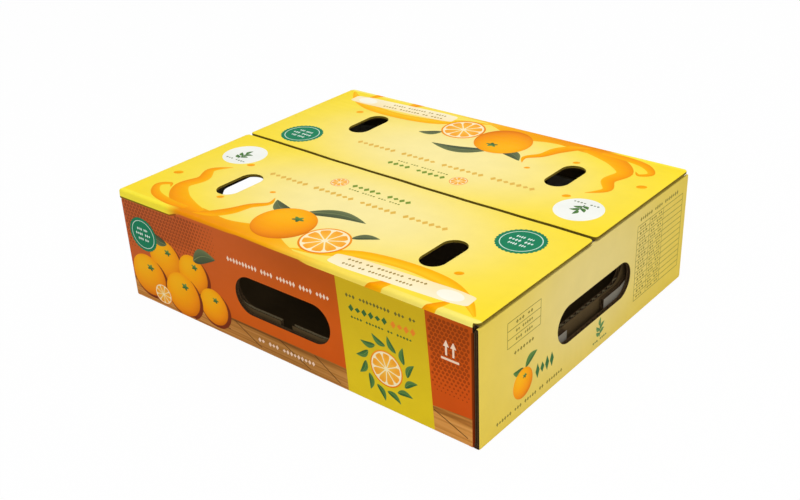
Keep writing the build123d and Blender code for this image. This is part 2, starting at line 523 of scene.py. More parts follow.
def make_board(name, sheet, shares, materials):
    """Corrugated board from its middle surface. The inside face lies half a board in. At cut edges the outer
    and the inner half are pressed to their shares of their thickness, and the edge opens between the two
    papers as a groove, in which the core shows."""
    point, normal, out, flat, colour, cells, ink = sheet.gather_merged()
    count = len(point)
    rim = rim_of(cells, count)
    covered = joined_at_fold(middles(rim, point))
    seal, rim = rim[covered], rim[~covered]
    inward, pull = pull_in(rim, point, normal)
    on_rim, local = np.unique(rim, return_inverse=True)
    local = local.reshape(rim.shape)
    up, down = out - INK_ROOM, np.full(count, HALF)
    up[on_rim] *= shares[0]
    down[on_rim] *= shares[1]

    top, deep = up[on_rim, None] - LINER, down[on_rim, None] - LINER
    middle, away, towards = point[on_rim], normal[on_rim], GROOVE * pull[on_rim]
    levels = [middle + top * away, middle + top * away + towards,
              middle - deep * away + towards, middle - deep * away]
    steps = [rim] + [local + 2 * count + i * len(on_rim) for i in range(len(levels))] + [rim + count]
    walls = walls_between(steps) + walls_between([seal, seal + count])
    core, core_faces, core_edge, place = open_core(rim, shares, point, normal, pull, flat)
    # Pale core on edges that face up: frayed fibres and a painted highlight
    core_ink = np.where(frayed_and_lit_from_above(middles(rim, point), inward), PALE_CORE, EDGE)[core_edge]

    shell = (point + up[:, None] * normal, point - down[:, None] * normal, *levels)
    all_points = np.concatenate((*shell, *core))
    all_points = np.clip(all_points, cad_box[0] / MM, cad_box[1] / MM)
    core_start = 2 * count + len(levels) * len(on_rim)
    faces = np.concatenate((
        cells, cells[:, ::-1] + count, *walls, *(face + core_start for face in core_faces),
    ))
    inks = [ink, np.full(len(cells), INSIDE)]
    inks += [np.full(len(w), i) for w, i in zip(walls, (EDGE, EDGE, CORE, EDGE, EDGE, EDGE))]
    inks = np.concatenate(inks + len(core) * [core_ink])
    all_flat = np.concatenate((flat, flat, *len(levels) * [flat[on_rim]], *len(core) * [place]))
    all_colours = np.ones_like(all_points)
    all_colours[:count] = colour
    return make_object(name, all_points, faces, inks, all_flat, all_colours, materials)


# Ink: layers lie on the paper, each a little higher than the one below it, up to layer 15
FILM = 0.03  # height of the lowest layer
LAYER = 0.015
SUNK = 0.2  # how deep a patch's border goes into the paper


def ink_lift(layer):
    """Height of a layer of ink, from the board's full thickness."""
    return FILM + layer * LAYER - INK_ROOM


def make_film(name, sheet, material):
    """Closed plates of ink: each patch gets its border down into the paper, and a bottom there."""
    point, normal, out, flat, colour, cells, _ = sheet.gather()
    count = len(point)
    rim = rim_of(cells, count)
    return make_object(
        name,
        np.concatenate((point + out[:, None] * normal, point + (out - SUNK)[:, None] * normal)),
        np.concatenate((cells, cells[:, ::-1] + count, *walls_between([rim, rim + count]))),
        np.zeros(2 * len(cells) + len(rim), int),
        np.concatenate((flat, flat)),
        np.concatenate((colour, colour)),
        [material],
    )


def between(low, high, step):
    """Evenly spaced values from low to high, about a step apart, both ends among them."""
    return np.linspace(low, high, int(round((high - low) / step)) + 1)


def merged(*lists):
    """One sorted list of the values of several, each value once."""
    return np.unique(np.round(np.concatenate([np.atleast_1d(part) for part in lists]), 6))


LEAST_SINE = 1e-9  # keeps a length finite that isn't used there


def slot_radius(angle, half_length, radius):
    """Distance from the middle of a slot to its outline: radius / |sin| along its straight sides, and
    c |cos| + sqrt(radius^2 - c^2 sin^2) round its ends, c being the distance of an end's centre."""
    c = half_length - radius
    cos, sin = np.abs(np.cos(angle)), np.abs(np.sin(angle))
    straight = radius / np.maximum(sin, LEAST_SINE)
    round_end = c * cos + np.sqrt(np.maximum(radius**2 - (c * sin) ** 2, 0))
    return np.where(straight * cos <= c, straight, round_end)


EDGE_BAND = 1.5  # the strip beside a cut edge where the board thins
EDGE_SHARES = (0.9, 0.9)  # of the outer and inner half's thickness that the cutting knife leaves
LID_EDGE_SHARES = (0.78, 0.3)
RAY_SHARES = (0.3, 0.45, 0.6, 0.75, 0.88)


def holed(us, vs, centre, half_length, radius, upright=False):
    """Grid between a slot and the rectangle round it: each ray from the slot's middle to a point of the
    rectangle is cut at shares of the way from one outline to the other."""
    sides = ((us, vs[0]), (us[-1], vs), (us[::-1], vs[-1]), (us[0], vs[::-1]))
    outer = np.concatenate([np.stack(np.broadcast_arrays(*side), -1)[:-1] for side in sides]) - centre
    angle = np.arctan2(outer[:, 1], outer[:, 0])
    reach = np.hypot(*outer.T)
    inner = slot_radius(angle + (math.pi / 2 if upright else 0), half_length, radius)
    gap = reach - inner
    shares = [0 * gap, EDGE_BAND / gap, 3 * EDGE_BAND / gap]
    shares += [0 * gap + share for share in RAY_SHARES]
    shares += [1 - EDGE_BAND / gap, 0 * gap + 1]
    rays = np.array(shares) * gap + inner
    return centre[0] + rays * np.cos(angle), centre[1] + rays * np.sin(angle)


# Shared grid lines
STEP = 5.0
HOLE_STEP = 2.5  # the rows beside a hand hole
NEAR = 1e-6  # closer than this is the same line
BOTH = np.array((-1, 1))
lock_edge = LOCK_WIDTH / 2 + LOCK_PLAY
side_xs = merged(between(-WALL_HALF, WALL_HALF, STEP), (INNER_MID - HALF - LOCK_PLAY) * BOTH)
lock_ys = np.outer(BOTH, (LOCK_Y - lock_edge, LOCK_Y - LOCK_WIDTH / 2,
                         LOCK_Y + LOCK_WIDTH / 2, LOCK_Y + lock_edge)).ravel()
end_ys = merged(between(-WING_FOLD, WING_FOLD, STEP), lock_ys, (-BASE_DEEP, BASE_DEEP))
roll_ys = merged(end_ys, (-ROLL_HALF, ROLL_HALF))
tab_hole_low = END_HOLE_Z + TAB_LIFT - END_HOLE[1]
tab_hole_high = END_HOLE_Z + TAB_LIFT + END_HOLE[1]
wall_zs = merged(
    between(FOLD_TOP, tab_hole_low, STEP),
    between(tab_hole_low, tab_hole_high, HOLE_STEP),
    between(tab_hole_high, TAB_TOP, STEP),
    TAB_TOP - EDGE_BAND,
    WALL_TOP,
)
end_zs = merged(
    between(FOLD_TOP, ROLL_START - CORNER_ROUND, STEP),
    ROLL_START - CORNER_ROUND * (1 - np.sin(np.linspace(0, math.pi / 2, 6))),
)
notch_z = WING_RIM + SIDE_HOLE[1]
wing_zs = merged(between(INNER_LOW, notch_z, STEP), between(notch_z, WING_TOP, STEP), WING_TOP - EDGE_BAND)
inner_zs = merged(wing_zs, WING_TOP + PLY_GAP, between(WING_TOP + PLY_GAP, ROLL_START, STEP))


def linear(code):
    """Linear colour of an sRGB hex value: c / 12.92 up to 0.04045, else ((c + 0.055) / 1.055) ** 2.4."""
    parts = np.array([int(code[i:i + 2], 16) / 255 for i in (1, 3, 5)])
    return (*np.where(parts <= 0.04045, parts / 12.92, ((parts + 0.055) / 1.055) ** 2.4), 1.0)


def between_inks(t, *codes):
    """Linear colour a share t of the way through evenly spaced hex colours."""
    stops = np.array([linear(code)[:3] for code in codes])
    places = np.linspace(0, 1, len(codes))
    return np.stack([np.interp(t, places, stops[:, i]) for i in range(3)], -1)


def wall_ground(x, v):
    """The wall's red ground: browner at the upper left, brighter at the lower right, and darker towards the
    top on its right half."""
    shade = 1 - 0.25 * np.clip((v - 55) / 40, 0, 1) * np.clip((x + 60) / 80, 0, 1)
    ground = between_inks(0.5 + 0.8 * x / LENGTH - (v - HEIGHT / 2) / 260, "#C66030", "#D66014", "#D25212")
    return shade[..., None] * ground


def lid_print_low(x):
    """Lower border of the lid's print: low on the wall at the left, on the fold in the middle, and where the
    fold begins at the right."""
    places = (-190, -124, -112, -55, -44, -34, 0, 28, 32)
    return HEIGHT - np.interp(x, places, (6.7, 6.6, 2.5, 2.4, 1.6, 1.6, 2.2, 2.2, 4.7))


def fold_band(x):
    """Colour of the lid's print where it runs over the fold: yellow, then orange that pales to the right,
    palest at the right corner, where the last stop is partly print and partly a painted highlight on the
    fold.
    """
    places = np.interp(x, (-190, -128, -114, -60, -10, 50, 190), np.linspace(0, 1, 7))
    # The last stop is partly a painted highlight on the fold at the right corner
    return between_inks(places, "#FFEC40", "#FFEA3C", "#F08E06", "#F69A08", "#FDAE12", "#FBDB50", "#FFF078")


def from_middle(x, v, at, size):
    """Square of the distance from the middle of the lid's pale patch or of an end's painted sheen, in its
    sizes.
    """
    return ((x - at[0]) / size[0]) ** 2 + ((v - at[1]) / size[1]) ** 2


# Middle and size of the lid's pale patch and of the painted sheen on an end
LID_GLOW = ((5, HEIGHT + 88), (158, 88))
END_PAINTED_SHEEN = ((-2, 66), (125, 78))

# Up to here the lid's print has the fold band's colour, and it fades over this length
BAND_TOP = 109.6
BAND_FADE = 1.3
BORDER_FADE = 0.5


def lid_ground(x, v):
    """A flap's ground: a pale glow that falls off as exp(-d^2.4) from the middle, d in glow sizes. Over the
    fold it is the band's colour, and below the print's border the wall's."""
    far = from_middle(x, v, *LID_GLOW)
    colour = between_inks(np.exp(-(far**1.2)), "#FDDF22", "#FCE24E", "#FCE67E", "#FCEBA0")
    over_fold = (BAND_TOP - v) / BAND_FADE
    below_border = (lid_print_low(x) - v) / BORDER_FADE + 0.5
    for share, other in (over_fold, fold_band(x)), (below_border, wall_ground(x, v)):
        colour = colour + (other - colour) * np.clip(share, 0, 1)[..., None]
    return colour


def end_ground(h, v):
    """An end's ground: yellow towards its edges and its foot, and pale gold in the middle, where a painted
    sheen stands in for light reflected off the print. It falls off as exp(-d^2.6), and a little painted shade
    darkens it towards the right."""
    # Painted sheen: the middle is paler, as if it reflected the room's light
    far = from_middle(h, v, *END_PAINTED_SHEEN)
    # Painted shade: a little darker towards the right
    shade = (1 - 0.03 * np.clip(h / 150, 0, 1))[..., None]
    return shade * between_inks(np.exp(-(far**1.3)), "#E9CC4C", "#E8CE64", "#E7D284")


FOLD_ROWS = 15
BLEED = 8.0  # how far the walls' print runs on round the corners
FOOT_LOW = 0.35  # a tab's fold goes down beside the base's fold to this height
FOOT_REACH = 3.0  # and no further round the corner than this
ROLL_PRINT = 10  # rows of the rolled edge's first fold that are printed
TAB_SHADOW = (-0.4, 0.1)  # between these places, from its end, the print round the corner darkens
TAB_SHADE = 0.3
CAP_REACH = 30.0  # the stretch of a tab whose columns follow the hand hole's round end
CAP_SHARES = np.array((0.25, 0.5, 0.75, 0.95, 1.0))
MARGIN_SHARES = np.array((0.0, 0.6, 1.0))
BASE_BAND = 4.0
BEND_ROWS = 7
NOTCH_COLUMNS = 12


def fold_rows(start):
    """Closely spaced rows over one fold of the tray."""
    return np.linspace(start, start + 2 * FOLD_TOP, FOLD_ROWS)


def add_long_side(sheet, turn):
    """Long wall with its hand hole, the fold to the base and the strips above the tabs."""
    place = side_place(turn)
    sheet.lay(place, fold_rows(-FOLD_TOP), side_xs, PRINTED, wall_ground)
    x, v = holed(side_xs, wall_zs, (0.0, SIDE_HOLE_Z), *SIDE_HOLE)
    sheet.add(place, v, x, PRINTED, wall_ground, wrap=True)
    for side in BOTH:
        strip = side * np.array((WALL_HALF, STRIP_END - EDGE_BAND, STRIP_END))
        sheet.lay(place, (TAB_TOP, WALL_TOP), strip, PRINTED, wall_ground)


def add_tab(sheet, across, along, reach):
    """Corner tab: fold and panel behind the end wall, its free edge let in where the hand hole passes."""
    place = corner_place(tab_line, across, along)
    zs = wall_zs[wall_zs <= TAB_TOP + NEAR]
    cap = along * END_HOLE_Y + END_HOLE[0] + TAB_PLAY - END_HOLE[1]
    start = WIDTH / 2 - cap
    corner = TAB_MID + HALF
    dark = PRINT_END - corner
    fold = merged(fold_rows(-FOLD_TOP), dark)
    foot = np.array((FOOT_LOW, (FOOT_LOW + FOLD_TOP) / 2, FOLD_TOP))
    for rows, columns in ((zs, merged(fold, BLEED)), (foot, fold[fold < FOOT_REACH])):
        z, v = np.meshgrid(rows, columns, indexing="ij")
        shade = np.interp(v - dark, TAB_SHADOW, (1, TAB_SHADE))[..., None]
        colour = shade * wall_ground(WALL_HALF * across * -along, z)
        sheet.add(place, v, z, PRINTED, colour, start=corner)
    fixed = between(BLEED, start - CAP_REACH, STEP)
    tail = between(start, reach, STEP)[1:]

    def stretched(limit):
        return np.concatenate((fixed, fixed[-1] + CAP_SHARES * (limit - fixed[-1])))

    for low, high in ((FOLD_TOP, tab_hole_low), (tab_hole_high, TAB_TOP)):
        rows = zs[(zs >= low - NEAR) & (zs <= high + NEAR)]
        z, v = np.meshgrid(rows, np.concatenate((stretched(start), tail)), indexing="ij")
        sheet.add(place, v, z, BARE, start=corner)
    rows = zs[(zs >= tab_hole_low - NEAR) & (zs <= tab_hole_high + NEAR)]
    middle = (tab_hole_low + tab_hole_high) / 2
    limits = start - np.sqrt(np.maximum(END_HOLE[1] ** 2 - (rows - middle) ** 2, 0))
    v = np.stack([stretched(limit) for limit in limits])
    sheet.add(place, v, rows[:, None] + 0 * v, BARE, start=corner)


def add_end(sheet, turn):
    """Rolled end: fold from the base, outer wall, rolled edge, inner panel and its locks."""
    place = end_place(turn)
    hole_y = turn * END_HOLE_Y
    printed = {"ink": PRINTED, "colour": end_ground, "start": 0}
    bare = {"ink": BARE, "start": 0}
    sheet.lay(place, fold_rows(-FOLD_TOP), end_ys, **printed)
    h, v = holed(end_ys, end_zs, (hole_y, END_HOLE_Z), *END_HOLE)
    sheet.add(place, v, h, wrap=True, **printed)
    # Margins beside the walls, with a rounded shoulder. The left end has none at the bulging front corner,
    # and the right end's go up over the rolled edge.
    for side in (-1, 1) if turn == 1 else (-1,):
        rows = merged(fold_rows(-FOLD_TOP), end_zs)
        up = np.clip(rows - (ROLL_START - CORNER_ROUND), 0, CORNER_ROUND)
        if turn == 1:
            rows = merged(rows, fold_rows(ROLL_START)[:ROLL_PRINT])
            up = 0 * rows
        limit = END_HALF - CORNER_ROUND + np.sqrt(CORNER_ROUND**2 - up**2)
        h = side * np.concatenate((
            np.full((len(rows), 1), BASE_DEEP),
            ROLL_HALF + (limit[:, None] - ROLL_HALF) * MARGIN_SHARES,
        ), 1)
        # From its start on, the rolled edge covers the first column
        keep = np.ones((len(rows) - 1, h.shape[1] - 1), bool)
        keep[rows[:-1] > ROLL_START - NEAR, 0] = False
        sheet.add(place, rows[:, None] + 0 * h, h, keep=keep, **printed)
    # Rolled edge: the print ends on top of it
    rows = fold_rows(ROLL_START)
    low = END_DROP - ROLL_START - 2 * FOLD_TOP
    for part, ink in ((rows[:ROLL_PRINT + 1], PRINTED), (rows[ROLL_PRINT:], BARE), ((rows[-1], low), BARE),
                      (fold_rows(low), BARE)):
        sheet.lay(place, part, roll_ys, ink, end_ground, start=0)
    # Inner panel: its lower part is narrower, where the wings fold off
    inner_ys = end_ys[np.abs(end_ys) <= WING_FOLD + NEAR]
    h, v = holed(inner_ys, END_DROP - inner_zs[::-1], (hole_y, END_DROP - END_HOLE_Z - INNER_LIFT), *END_HOLE)
    sheet.add(place, v, h, wrap=True, **bare)
    rows = END_DROP - inner_zs[inner_zs >= WING_TOP + PLY_GAP - NEAR]
    for side in BOTH:
        sheet.lay(place, rows, side * np.array((WING_FOLD, BASE_DEEP, ROLL_HALF)), **bare)
        lock = end_ys[np.abs(side * end_ys - LOCK_Y) <= LOCK_WIDTH / 2 + NEAR]
        sheet.lay(place, END_DROP - np.array((INNER_LOW, LOCK_RECESS)), lock, **bare)


def add_wing(sheet, across, along):
    """Wing: folds off an inner panel and lines the long wall, cut down below the wall's hand hole. Below the
    hole's round end its top follows notch_z - sqrt(R^2 - (x - c)^2)."""
    place = corner_place(wing_line, across, along)
    bend = WING_FOLD + 2 * (FOLD - HALF)
    far = INNER_MID - FOLD + bend
    notch = SIDE_HOLE[0] + WING_PLAY
    radius = SIDE_HOLE[1]
    vs = merged(np.linspace(WING_FOLD, bend, BEND_ROWS), between(bend, far - notch, STEP),
                far - notch - EDGE_BAND)
    sheet.lay(place, vs, wing_zs, BARE, start=0)
    x = merged(notch - radius * (1 - np.cos(np.linspace(0, math.pi / 2, NOTCH_COLUMNS))),
               between(WING_GAP / 2, notch - radius, STEP), WING_GAP / 2 + EDGE_BAND)
    top = notch_z - np.sqrt(np.maximum(radius**2 - np.maximum(x - notch + radius, 0) ** 2, 0))
    rows = wing_zs[wing_zs <= notch_z + NEAR]
    shares = (rows - INNER_LOW) / (notch_z - INNER_LOW)
    z = INNER_LOW + shares[None, :] * (top[:, None] - INNER_LOW)
    sheet.add(place, far - x[:, None] + 0 * z, z, BARE, start=0)


def add_base(sheet):
    """Base panel with four lock slots: the cells of a slot are left out."""
    edges = np.array((BASE_HALF, INNER_MID + HALF + LOCK_PLAY, BASE_HALF - BASE_BAND))
    xs = merged(side_xs, edges, -edges)
    x, y = np.meshgrid(xs, end_ys, indexing="ij")
    mid_x = (x[:-1, :-1] + x[1:, 1:]) / 2
    mid_y = (y[:-1, :-1] + y[1:, 1:]) / 2
    in_slot = (np.abs(np.abs(mid_x) - INNER_MID) < HALF + LOCK_PLAY) & (
        np.abs(np.abs(mid_y) - LOCK_Y) < lock_edge)
    sheet.add(base_place, y, x, BARE, keep=~in_slot)


def build_tray(materials):
    """The whole tray, one folded board."""
    sheet = Sheet()
    add_base(sheet)
    for turn in (1, -1):
        add_long_side(sheet, turn)
        add_end(sheet, turn)
    for across in BOTH:
        add_tab(sheet, across, -1, FRONT_TAB)
        add_tab(sheet, across, 1, REAR_TAB)
        for along in BOTH:
            add_wing(sheet, across, along)
    return make_board("tray_board", sheet, EDGE_SHARES, materials)


LID_EDGE_REACH = 5.0  # closely spaced rows after the fold and before the seam
LID_EDGE_ROWS = 9
SEAM_BAND = 4.5
SEAM_SHARES = np.array((0.0, 0.35, 0.6, 0.8, 0.93, 1.0))


def lid_edge(turn, x):
    """Where a flap ends: half the seam short of the middle, less the wedge that opens to the right, askew
    by the seam's tilt, and uneven by two sines."""
    uneven = 0.22 * np.sin(x / 21 + turn) + 0.14 * np.sin(x / 8.3 + 2 * turn)
    return HEIGHT + WIDTH / 2 - SEAM / 2 - (SEAM_TILT + turn * SEAM_SKEW / 2) * x / LID_HALF + uneven


def drawn_in(x, start, amount):
    """Draws the stretch from start to the flap's end in by an amount at its end."""
    share = np.maximum(np.abs(x) - start, 0) / (LID_HALF - start)
    return x - np.sign(x) * share * amount


def round_off(radius, inside):
    """How far a rounded corner draws in a row: r - sqrt(r^2 - (r - d)^2) for its distance d to the edge."""
    inside = np.clip(radius - inside, 0, radius)
    return radius - np.sqrt(radius**2 - inside**2)


def build_flap(name, turn, materials):
    """Lid flap with its fold and two vents. Each half of the panel is a grid round its vent."""
    sheet = Sheet()
    place = lid_place(turn)
    bands = LID_HALF - np.array((0.0, EDGE_BAND, SEAM_BAND))
    xs = merged(side_xs[np.abs(side_xs) <= WALL_HALF], 0.0, bands, -bands)
    flat_start = HEIGHT + HALF + LID_FOLD
    start = flat_start + LID_EDGE_REACH
    # The fold is as wide as the wall's top strip, and reaches the end at the bulging corner
    rows = merged(np.linspace(WALL_TOP, flat_start, FOLD_ROWS), np.linspace(flat_start, start, LID_EDGE_ROWS))
    v, x = np.meshgrid(rows, xs, indexing="ij")
    left = 0.0 if turn == 1 else LID_HALF - STRIP_END
    corner = np.where(x < 0, left, LID_HALF - STRIP_END)
    x = drawn_in(x, WALL_HALF, round_off(corner, v - HEIGHT))
    sheet.add(place, v, x, PRINTED, lid_ground)
    # Panel, half by half
    seam_row = lid_edge(turn, 0.0) - LID_EDGE_REACH
    vs = between(start, seam_row, STEP)
    for side in BOTH:
        half_xs = xs[side * xs >= 0]
        x, v = holed(half_xs, vs, (side * VENT_X, VENT_V), *VENT, upright=True)
        sheet.add(place, v, x, PRINTED, lid_ground, wrap=True)
    # Rows along the seam
    end = lid_edge(turn, xs)[None, :]
    v = seam_row + SEAM_SHARES[:, None] * (end - seam_row)
    x = drawn_in(xs[None, :] + 0 * v, LID_HALF - SEAM_BAND, round_off(CORNER_ROUND, end - v))
    sheet.add(place, v, x, PRINTED, lid_ground)
    return make_board(name, sheet, LID_EDGE_SHARES, materials)


# Colours of the print, light to dark or from edge to edge
PEEL = ("#DE7408", "#F79210", "#FFA90C", "#FFC41C")
RIND = ("#F0850F", "#F79A1C")
FLESH = ("#FFC54A", "#F99A1E")
PITH = "#FFEFC0"
GREEN_LEAF = ("#2F5A34", "#4C7A3E", "#7C9A4C")
GREY_LEAF = ("#3F4A34", "#5A6544", "#828A58")
ORANGE_WAVE = ("#F59400", "#FFA200", "#FFAC00", "#FFB60A")
GOLD_WAVE = ("#FFAE04", "#FFBC0C", "#FFC820", "#FBB410")
CREAM = ("#FFF3CC", "#FFEAB4")
SEAL_GREEN = "#1C7F58"
TAN_MARKS = "#E6B850"
DARK_MARKS = "#6F6A2C"
PALE_MARKS = "#F7D9BC"

CELL = 3.7  # pitch of the honeycomb
ROW = 0.87 * CELL
QUAD = [(0, 1, 2, 3)]
HEXAGON = [(0, 1, 2, 3), (0, 3, 4, 5)]


def turned(x, y, angle, at):
    """Turns a shape by an angle in degrees and moves it to its place."""
    cos, sin = math.cos(math.radians(angle)), math.sin(math.radians(angle))
    return at[0] + x * cos - y * sin, at[1] + x * sin + y * cos


def squeezed_grid(n, cut, power):
    """Grid from -1 to 1 drawn in at its corners: a sqrt(1 - cut |b|^power / 2), and b the same way. With cut
    1 and power 2 it is a disc, with a smaller cut and a higher power a box with rounded corners."""
    a, b = np.meshgrid(np.linspace(-1, 1, n), np.linspace(-1, 1, n), indexing="ij")
    return a * np.sqrt(1 - cut * np.abs(b) ** power / 2), b * np.sqrt(1 - cut * np.abs(a) ** power / 2)


def smooth_line(points, count):
    """Catmull-Rom curve through rows of numbers, its ends repeated: half the sum of 2 b, (c - a) f,
    (2 a - 5 b + 4 c - d) f^2 and (3 b - a - 3 c + d) f^3 between b and c."""
    p = np.array(points, float)
    t = np.linspace(0, len(p) - 1, count)
    p = np.concatenate((p[:1], p, p[-1:]))
    i = np.minimum(t.astype(int), len(p) - 4)
    f = (t - i)[:, None]
    a, b, c, d = (p[i + k] for k in range(4))
    return (2 * b + (c - a) * f + (2 * a - 5 * b + 4 * c - d) * f**2 + (3 * b - a - 3 * c + d) * f**3) / 2


class Face(Sheet):
    """The shapes of ink on one printed face, in its own coordinates x and v."""

    def __init__(self, place):
        super().__init__()
        self.place = place

    def grid(self, x, v, colour, layer, wrap=False):
        """Patch of ink from a grid of points."""
        self.add(self.place, v, x, colour=colour, wrap=wrap, lift=ink_lift(layer))

    def cells(self, x, v, cells, colour, layer):
        """Many small shapes with the same corners: x and v have a row for each of them."""
        count, corners = x.shape
        numbers = (np.arange(count)[:, None, None] * corners + np.array(cells)).reshape(-1, 4)
        self.add_cells(self.place, v, x, numbers, colour=colour, lift=ink_lift(layer))

    def disc(self, at, size, codes, layer, angle=0.0, n=17, cut=1.0, power=2.0, lobes=0, depth=0.0,
             light=None):
        """Disc, or rounded box, with lobes round its edge: its radius is 1 + depth cos(lobes angle). size is
        its width, or width and height. light(a, b) picks the colour from the place on it, and without it
        the colours run from bottom to top."""
        wide, tall = np.broadcast_to(size, 2)
        a, b = squeezed_grid(n, cut, power)
        edge = 1 + depth * np.cos(lobes * np.arctan2(b, a)) * (a * a + b * b)
        tone = light(a, b) if light else (b + 1) / 2
        x, v = turned(a * edge * wide / 2, b * edge * tall / 2, angle, at)
        self.grid(x, v, between_inks(tone, *codes), layer)

    def box(self, at, size, codes, layer, angle=0.0):
        """Box with rounded corners."""
        self.disc(at, size, codes, layer, angle, n=25, cut=0.5, power=9.0)

    def ring(self, at, inner, outer, code, layer, count=48):
        """Flat ring."""
        r, t = np.meshgrid((inner, outer), np.linspace(0, 2 * math.pi, count, endpoint=False), indexing="ij")
        self.grid(at[0] + r * np.cos(t), at[1] + r * np.sin(t), code, layer, wrap=True)

    def ribbon(self, points, codes, layer, count=41):
        """Ribbon along a smooth curve through rows of x, v and width, coloured from its left to its right."""
        x, v, width = smooth_line(points, count).T[:, :, None]
        way = np.stack((np.gradient(x[:, 0]), np.gradient(v[:, 0])))[:, :, None]
        way = way / np.hypot(*way)
        across = np.linspace(0.5, -0.5, 7)
        x, v = x - way[1] * width * across, v + way[0] * width * across
        self.grid(x, v, between_inks(0.5 - across + 0 * x, *codes), layer)

    def leaf(self, at, length, width, angle, layer, codes=GREEN_LEAF):
        """Leaf: its half width goes as sin(pi s^0.8)^0.85 along it, it bends by an eighth of its length, and
        a pale rib runs up its middle."""
        s, t = np.meshgrid(np.linspace(0, 1, 15), np.linspace(-1, 1, 5), indexing="ij")
        half = width / 2 * np.sin(math.pi * s**0.8) ** 0.85 + 0.03
        bend = length / 8 * np.sin(math.pi * s)
        x, v = turned(s * length, bend + t * half, angle, at)
        self.grid(x, v, between_inks(0.35 + 0.3 * t + 0.2 * s, *codes), layer)
        rib = t[:, ::4] * (0.012 * length * (1 - s[:, ::4]) + 0.04)
        x, v = turned(s[:, ::4] * length, bend[:, ::4] + rib, angle, at)
        self.grid(x, v, codes[-1], layer + 1)

    def marks(self, at, length, height, words, code, layer, angle=0.0):
        """Row of small lozenges in groups."""
        unit = length / (sum(words) + len(words) - 1)
        starts = np.cumsum([0] + [count + 1 for count in words[:-1]])
        number = np.concatenate([start + np.arange(count) for start, count in zip(starts, words)])
        middle = (number + 0.5)[:, None] * unit
        tall = np.where(number % 3 == 1, 0.36, 0.5)[:, None] * height
        x, v = turned(
            middle + unit * np.array((-0.42, 0, 0.42, 0)),
            tall * np.array((0.0, -1, 0, 1)), angle, at)
        self.cells(x, v, QUAD, code, layer)

    def lines(self, ends, width, code, layer):
        """Straight lines, each from its x, v to its other x, v, in six stretches."""
        ends = np.array(ends, float)
        start, way = ends[:, :2], (ends[:, 2:] - ends[:, :2]) / 6
        stretches = [np.concatenate((start + i * way, start + (i + 1) * way), 1) for i in range(6)]
        x0, v0, x1, v1 = np.concatenate(stretches).T[:, :, None]
        length = np.hypot(x1 - x0, v1 - v0)
        side_x, side_v = (v0 - v1) / length * width / 2, (x1 - x0) / length * width / 2
        sides = np.array((1.0, -1, -1, 1))
        far = np.array((0.0, 0, 1, 1))
        x = x0 + far * (x1 - x0) + sides * side_x
        v = v0 + far * (v1 - v0) + sides * side_v
        self.cells(x, v, QUAD, code, layer)

    def honeycomb(self, low, high, strength, layer):
        """Hexagons in rows ROW apart, every other row half a cell along. strength(x, v) shrinks them."""
        i, j = np.meshgrid(np.arange((high[0] - low[0]) // CELL), np.arange((high[1] - low[1]) // ROW))
        x = (low[0] + (i + j % 2 / 2) * CELL).reshape(-1, 1)
        v = (low[1] + j * ROW).reshape(-1, 1)
        size = 0.47 * CELL * strength(x, v)
        keep = (size[:, 0] > 0.5) & (np.abs(x[:, 0]) < PRINT_END - CELL / 2)
        x, v, size = (part[keep] for part in (x, v, size))
        angle = math.pi / 6 + math.pi / 3 * np.arange(6)
        colour = 0.6 * wall_ground(x, v) + 0 * angle[:, None]
        self.cells(x + size * np.cos(angle), v + size * np.sin(angle), HEXAGON, colour, layer)

    def orange(self, at, radius, layer):
        """Whole orange: lit from above as a ball is, with a small green star where it was cut off."""

        def light(a, b):
            return 0.5 * np.sqrt(np.maximum(1 - a * a - b * b, 0)) + 0.3 * b - 0.2 * a + 0.22

        self.disc(at, 2 * radius, PEEL, layer, n=25, light=light)
        top = (at[0] + 0.18 * radius, at[1] + 0.42 * radius)
        self.disc(top, (0.34 * radius, 0.26 * radius), GREEN_LEAF, layer + 1, lobes=5, depth=0.3, n=21)

    def wheel(self, at, radius, layer, angle=0.0, slices=9):
        """Cut orange: rind, pith and slices. A slice is a wedge that stays a pith's width from the next."""
        self.disc(at, 2 * radius, RIND, layer, n=25)
        self.disc(at, 1.84 * radius, (PITH,), layer + 1, n=25)
        r, t = np.meshgrid(np.linspace(0.13, 0.84, 7), np.linspace(-1, 1, 7), indexing="ij")
        rounding = 1 - 0.3 * ((r - 0.13) / 0.71) ** 8
        half = math.pi / slices * rounding - 0.028 / r
        for number in range(slices):
            turn = math.radians(angle) + 2 * math.pi * number / slices + half * t
            x, v = at[0] + radius * r * np.cos(turn), at[1] + radius * r * np.sin(turn)
            self.grid(x, v, between_inks(r - 0.2 * np.abs(t), *FLESH), layer + 2)

    def seal(self, at, radius, layer):
        """Scalloped round seal with a pale ring and short rows of lozenges."""
        self.disc(at, 2 * radius, (SEAL_GREEN,), layer, n=65, lobes=32, depth=0.02)
        self.ring(at, 0.8 * radius, 0.84 * radius, "#CFE8D6", layer + 1)
        for row, length in ((0.3, 0.8), (0.0, 1.1), (-0.3, 0.8)):
            start = (at[0] - length / 2 * radius, at[1] + row * radius)
            self.marks(start, length * radius, 0.2 * radius, (4, 3), "#E4F2E6", layer + 1)

    def sprig(self, at, size, layer, codes=GREEN_LEAF):
        """Twig: a stem with a leaf at its tip and two pairs of leaves along it."""
        self.lines(((at[0], at[1] - 0.15 * size, at[0], at[1] + 0.62 * size),), 0.06 * size, codes[0], layer)
        for height, angle, share in ((0.56, 86, 0.56), (0.34, 34, 0.58), (0.27, 138, 0.56), (0.06, 24, 0.5),
                                     (0.0, 150, 0.48)):
            self.leaf((at[0], at[1] + height * size), share * size, 0.25 * size, angle, layer + 1, codes)


# Places on the printed faces
OLIVE = (67.5, 150.5)
SLANT = 0.06  # the panel leans to the left by this much of its height
PLANK_TOP = 20.0
LABEL = (108.0, 122.0)
LABEL_TURN = 3.0
TABLE = (66.0, 16.0, 144.0, 85.0)
SMALL_TABLE = (-118.0, 66.0, -76.0, 87.0)


